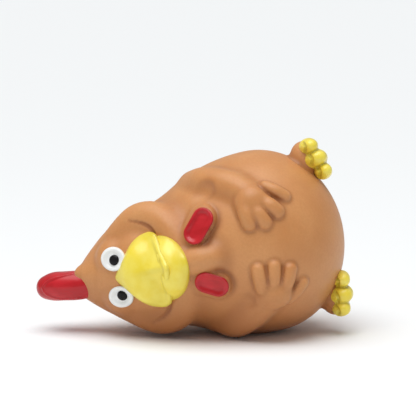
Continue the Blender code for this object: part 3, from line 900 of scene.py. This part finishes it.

# %% [markdown]
# ## The comb
# The comb is one thick lobe that stands off the crown. Two tubes side by side give it its width, and a thin
# ridge runs round it where the halves of the mould met.

# %% Comb
comb = Clay()
comb.tube(
    [
        (-1.0, 80.0, 8.6, 6.8), (-0.7, 87.0, 8.0, 6.8), (0.2, 93.5, 6.2, 6.6), (0.8, 97.5, 4.5, 6.0),
        (1.1, 101.0, 3.0, 4.6)
    ],
    soft=1.0
)
comb.tube(
    [
        (-1.0, 80.0, -3.0, 5.6), (-0.7, 87.0, -3.0, 6.2), (0.2, 93.5, -2.0, 6.4), (0.8, 97.5, 0.0, 5.9),
        (1.1, 101.0, 1.6, 4.6)
    ],
    soft=5.0
)
SEAM = [
    (5.3, 86.5), (5.4, 91.0), (5.2, 95.5), (4.4, 100.0), (1.6, 103.3), (-2.0, 101.6), (-4.6, 97.0),
    (-5.6, 92.0), (-5.9, 87.5)
]
seam = [(*front_of(comb, left, up), 0.5) for left, up in SEAM]
comb.tube(seam, soft=0.4)
clay_piece("comb_paint", comb, 0.45, red, ["comb"])
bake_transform(bpy.data.objects["comb_paint"], "body", "comb", start=in_row(0, 84.5, 2), end=in_row(0, 96, 2))

# %% [markdown]
# ## The legs and toes
# Each stub of a leg is bare rubber that swells out of the trunk, so it is cut from the same clay. The toes are
# round yellow lumps in a row, each with a pressed crease, made once and placed three times.

# %% Legs and toes
TOES = {
    1: [(39.0, -34.0, 4.0, 4.6), (32.6, -35.8, 4.7, 5.9), (26.1, -38.2, 4.0, 4.3)],
    -1: [(38.8, -32.2, 4.1, 4.5), (32.6, -33.4, 4.8, 6.0), (25.4, -35.0, 4.2, 4.4)],
}
for side, word in ((1, "left"), (-1, "right")):
    leg = Clay()
    leg.rule(lambda p: trunk_rule(p) + 0.25)
    leg.egg((side * 33.0, -31.0 + (side < 0), 2.6), (9.0, 7.0, 8.0), soft=3.0)
    near = Clay()
    near.rule(lambda p: meet(leg(p), np.linalg.norm(p - [side * 30.5, -29.0, 4.0], axis=1) - 17.0, 1.0))
    leg_start = rounded_lump("start", (side * 28.0, -26.0, 4), (12, 12, 12), segments=32, rings=20)
    leg_obj = clay_piece(
        word + "_leg_rubber", near, 0.7, latex.material, [word + "_leg"], None, [leg_start], rounds=12
    )
    in_row(side * 27, -25, 2)
    in_row(side * 34, -33, 2)
    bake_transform(leg_obj)
    toes = Clay()
    for left, up, half_width, half_height in TOES[side]:
        toes.egg((side * left, up, 7.0), (half_width, half_height, 6.2), soft=1.1)
        toes.egg(
            (side * (left + 0.3), up - 1.0, 11.0), (half_width * 0.78, half_height * 0.72, 3.6), soft=1.0
        )
        knuckle = [
            (*front_of(toes, side * (left + x), up + rise), 0.6) for x,
            rise in ((-2.4, 2.4), (0.4, 1.5), (2.6, 2.2))
        ]
        toes.tube(knuckle, soft=0.7, press=True)
    clay_piece(
        word + "_toes_paint", toes, 0.5, yellow, [f"{word}_{w}_toe" for w in ("outer", "middle", "inner")],
        word + "_leg"
    )

# %% [markdown]
# ## The plug at the back
# The squeaker's plug is turned plastic, so its outline is a profile of radius and height that a Screw
# modifier spins, and a Bevel modifier takes the sharpness off its rims. The holder and reed inside it keep
# their exact solids.

# %% Plug
plastic = Finish("ivory_plastic", IOR=1.49, Subsurface_Weight=0.05, Subsurface_Scale=0.002)
swirl = plastic.noise(120, 2.0).ramp(0.3, 0.7)
ivory = plastic.mix(rgb(0.80, 0.76, 0.66), rgb(0.73, 0.68, 0.57), swirl)
plastic.surface(Base_Color=ivory, Roughness=0.32 + swirl * 0.10)
plastic.bump(plastic.noise(900, 2.0), 0.2, 0.06)
brass = Finish("reed_brass", Metallic=1.0)
drawn = brass.noise(1500, 2.0, (0.1, 1, 1)).ramp(0.3, 0.7)
brass.surface(
    Base_Color=brass.mix(rgb(0.78, 0.57, 0.26), rgb(0.62, 0.43, 0.17), drawn), Roughness=0.25 + drawn * 0.15
)
brass.bump(brass.noise(2500, 1.0, (0.1, 1, 1)), 0.15, 0.02)
PROFILE = [
    (1.6, 0.9), (3.4, 0.9), (4.0, 1.4), (8.4, 1.4), (9.0, 0.9), (9.0, 0.2), (7.0, 0.2), (6.8, -3.0), (7.6, -3.2),
    (6.4, -10.0), (6.4, -11.2), (5.2, -11.2), (5.2, -1.0), (1.6, -1.0), (1.6, 0.9),
]
mesh = bpy.data.meshes.new("plug")
mesh.from_pydata([(r * MM, 0, z * MM) for r, z in PROFILE], [(i, i + 1) for i in range(len(PROFILE) - 1)], [])
plug = bpy.data.objects.new("plug", mesh)
bpy.context.collection.objects.link(plug)
spin = plug.modifiers.new("spin", "SCREW")
spin.steps = spin.render_steps = 96
spin.use_merge_vertices = True
spin.merge_threshold = 0.00001
weld = plug.modifiers.new("close the seam", "WELD")
weld.merge_threshold = 0.00001
rims = plug.modifiers.new("soft rims", "BEVEL")
rims.width, rims.segments, rims.limit_method = 0.15 * MM, 3, "ANGLE"
apply_all(plug)
bpy.ops.object.mode_set(mode="EDIT")
bpy.ops.mesh.select_all(action="SELECT")
bpy.ops.mesh.normals_make_consistent(inside=False)
bpy.ops.object.mode_set(mode="OBJECT")
seat = Vector(spot(*(PLUG_FACE - PLUG_WAY * PLUG_RISE)))
toward = Vector(spot(*PLUG_WAY)).normalized()
plug.data.transform(Matrix.Translation(seat) @ toward.to_track_quat("Z", "Y").to_matrix().to_4x4())
wear(plug, plastic.material)
lay_down(plug)
select_only(plug)
bpy.ops.object.shade_smooth_by_angle(angle=math.radians(40))
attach(plug, "body")
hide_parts("squeaker_housing")
wear(bpy.data.objects["reed_holder"], plastic.material)
wear(bpy.data.objects["squeaker_reed"], brass.material)
print("plug", len(plug.data.polygons), "faces")

# %% [markdown]
# ## The floor
# A plain pale floor catches the soft shadow.

# %% Floor
bpy.ops.object.select_all(action="DESELECT")
bpy.ops.mesh.primitive_plane_add(size=8, location=(0, 0, 0))
floor = bpy.context.object
floor.name = "floor"
floor_finish = Finish("pale_floor", Roughness=0.8)
floor_finish.surface(Base_Color=rgb(0.90, 0.92, 0.93))
wear(floor, floor_finish.material)
